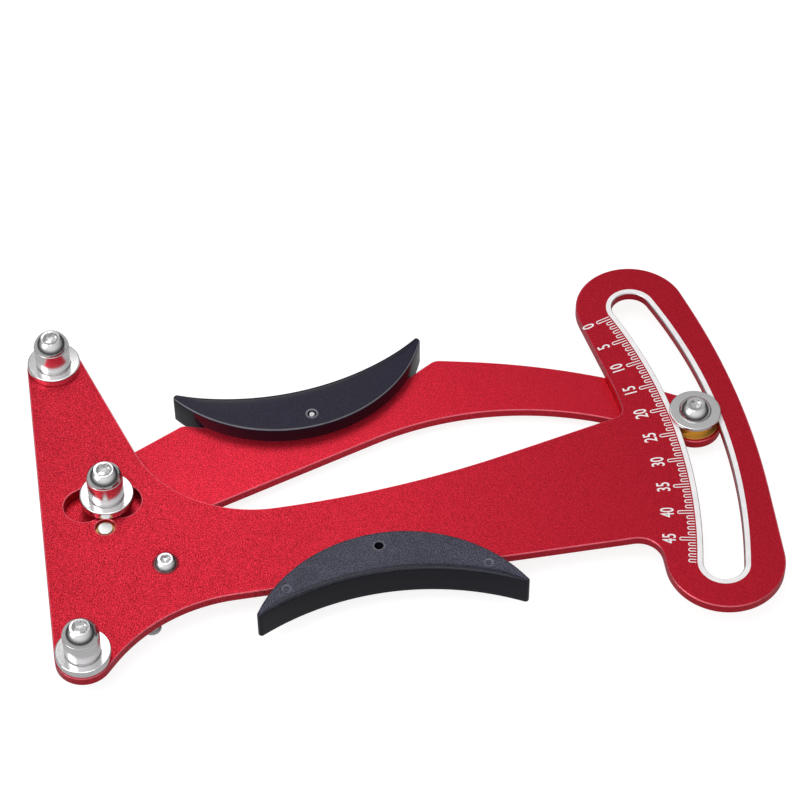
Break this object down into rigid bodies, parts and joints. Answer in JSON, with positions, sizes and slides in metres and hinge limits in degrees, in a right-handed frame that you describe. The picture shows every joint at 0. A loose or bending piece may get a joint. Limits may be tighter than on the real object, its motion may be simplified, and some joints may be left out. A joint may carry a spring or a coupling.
{
  "type": "spoke tension meter",
  "caption": "Hand-squeezed spoke tension meter: a flat plate with two fixed posts and an arc scale, and a pivoted lever behind it with the moving post and the pointer.",
  "frame": {"origin": "on the pivot axis, in the plane of the screw and stud ends that the meter rests on", "axes": "+X along the arms towards the scale, +Y along the line of the fixed posts towards the upper one, +Z out of the front face along the pivot"},
  "size_m": [0.2137, 0.1356, 0.0239],
  "materials": {
    "plate_red": "bead-blasted and anodised red, bright worn edges",
    "lever_red": "bead-blasted and anodised red, bright worn edges",
    "aluminium": "turned, satin",
    "screw_steel": "polished stainless steel",
    "nut_steel": "zinc-plated steel",
    "pin_steel": "ground pin with a polished end",
    "spring_steel": "bright spring wire",
    "brass": "plain turned brass",
    "pad_plastic": "fine-grained moulded plastic, dark grey"
  },
  "bodies": {
    "frame": {"front_plate": "plate_red", "upper_post_sleeve": "aluminium", "lower_post_sleeve": "aluminium", "upper_post_screw": "screw_steel", "lower_post_screw": "screw_steel", "upper_post_nut": "nut_steel", "lower_post_nut": "nut_steel", "pivot_pin": "pin_steel", "pivot_insert": "brass", "pivot_thrust_washer": "nut_steel", "pivot_back_washer": "nut_steel", "lower_pad": "pad_plastic", "lower_pad_screw": "nut_steel", "spring_anchor_screw": "screw_steel", "spring_anchor_stud": "aluminium"},
    "lever": {"lever_arm": "lever_red", "lever_bush": "brass", "moving_post_sleeve": "aluminium", "moving_post_spacer": "aluminium", "moving_post_screw": "screw_steel", "moving_post_nut": "nut_steel", "pointer_bush": "brass", "pointer_washer": "aluminium", "pointer_screw": "screw_steel", "pointer_nut": "nut_steel", "upper_pad": "pad_plastic", "upper_pad_screw": "nut_steel", "spring_lever_stud": "aluminium", "spring": "spring_steel"}
  },
  "joints": [
    {"name": "lever_pivot", "type": "hinge", "parent": "frame", "child": "lever", "pos_m": [0, 0, 0.0052], "axis": [0, 0, 1], "range_deg": [-18.1, 15], "stiffness_Nm_per_rad": 3.4, "springref_deg": 15, "deforming": ["spring"]}
  ]
}
